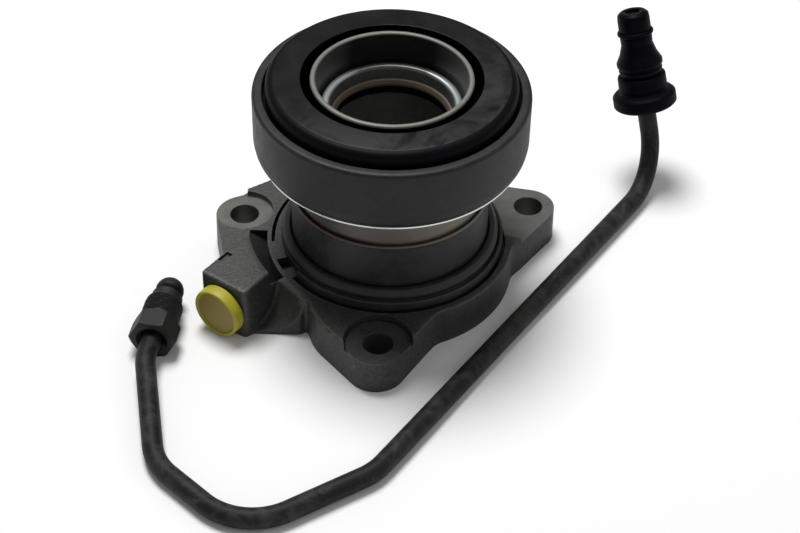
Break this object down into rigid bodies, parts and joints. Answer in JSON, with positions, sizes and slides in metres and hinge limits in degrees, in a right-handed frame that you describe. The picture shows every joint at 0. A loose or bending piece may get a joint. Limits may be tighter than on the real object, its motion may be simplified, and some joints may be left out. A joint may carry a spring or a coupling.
{
  "type": "concentric clutch slave cylinder",
  "caption": "Annular hydraulic clutch slave cylinder: cast eared base, sprung sliding release bearing, plugged side port, and its bent pressure line with tube nut and plug-in connector.",
  "frame": {"origin": "under the middle of the whole set (cylinder and line), at the height of the cylinder's mounting face", "axes": "+Z along the cylinder's axis, from the mounting face towards the clutch; +Y away from the ear that stands alone; +X towards the line's plug-in connector"},
  "size_m": [0.1332, 0.1387, 0.0575],
  "materials": {
    "cast_aluminium": "dull grey as-cast die-cast surface, machined on the ear faces",
    "zinc_plating": "bright zinc-plated pressed steel",
    "dark_drawn_steel": "drawn steel with a dark grey satin coating",
    "blackened_steel": "black oxide hardened steel, slightly oily",
    "bearing_steel": "ground and polished bearing steel",
    "phosphated_steel": "black phosphated steel",
    "coated_line_steel": "steel tube with a dark grey polymer coating",
    "piston_nylon": "dark glass-filled nylon with traces of brown grease",
    "tan_seal_rubber": "tan rubber lip seal",
    "black_rubber": "black nitrile rubber",
    "black_plastic": "black moulded nylon",
    "yellow_plastic": "yellow soft polyethylene"
  },
  "bodies": {
    "cylinder_body": {"housing": "cast_aluminium", "guide_tube": "zinc_plating", "shaft_seal": "tan_seal_rubber", "cylinder_sleeve": "dark_drawn_steel", "guide_seal": "black_rubber", "foot_seal": "black_rubber", "port_plug": "yellow_plastic", "preload_spring": "bearing_steel", "pressure_pipe": "coated_line_steel", "line_grommet": "black_rubber", "line_connector": "black_plastic", "connector_o_ring": "black_rubber"},
    "carriage_body": {"spring_seat": "bearing_steel", "piston_seal": "black_rubber", "piston": "piston_nylon", "bearing_carrier": "zinc_plating", "bearing_shell": "dark_drawn_steel", "outer_race": "bearing_steel", "bearing_shield": "black_rubber"},
    "contact_body": {"contact_ring": "blackened_steel"},
    "ball_set": {"ball_cage": "piston_nylon", "ball_01": "bearing_steel", "ball_02": "bearing_steel", "ball_03": "bearing_steel", "ball_04": "bearing_steel", "ball_05": "bearing_steel", "ball_06": "bearing_steel", "ball_07": "bearing_steel", "ball_08": "bearing_steel", "ball_09": "bearing_steel", "ball_10": "bearing_steel", "ball_11": "bearing_steel", "ball_12": "bearing_steel", "ball_13": "bearing_steel", "ball_14": "bearing_steel"},
    "nut_body": {"tube_nut": "phosphated_steel"}
  },
  "joints": [
    {"name": "carriage_slide", "type": "slide", "parent": "cylinder_body", "child": "carriage_body", "axis": [0, 0, 1], "range_m": [-0.01, 0], "stiffness_N_per_m": 3000, "springref_m": 0.02, "deforming": ["preload_spring"]},
    {"name": "contact_ring_spin", "type": "hinge", "parent": "carriage_body", "child": "contact_body", "pos_m": [-0.0062, 0.0183, 0.0575], "axis": [0, 0, 1], "continuous": true},
    {"name": "ball_set_spin", "type": "hinge", "parent": "carriage_body", "child": "ball_set", "pos_m": [-0.0062, 0.0183, 0.0456], "axis": [0, 0, 1], "continuous": true},
    {"name": "tube_nut_spin", "type": "hinge", "parent": "cylinder_body", "child": "nut_body", "pos_m": [-0.0611, -0.0157, 0.005], "axis": [0.1392, 0.9903, 0], "continuous": true}
  ],
  "couplings": [
    {"joint": "ball_set_spin", "follows": "contact_ring_spin", "ratio": 0.4546}
  ]
}
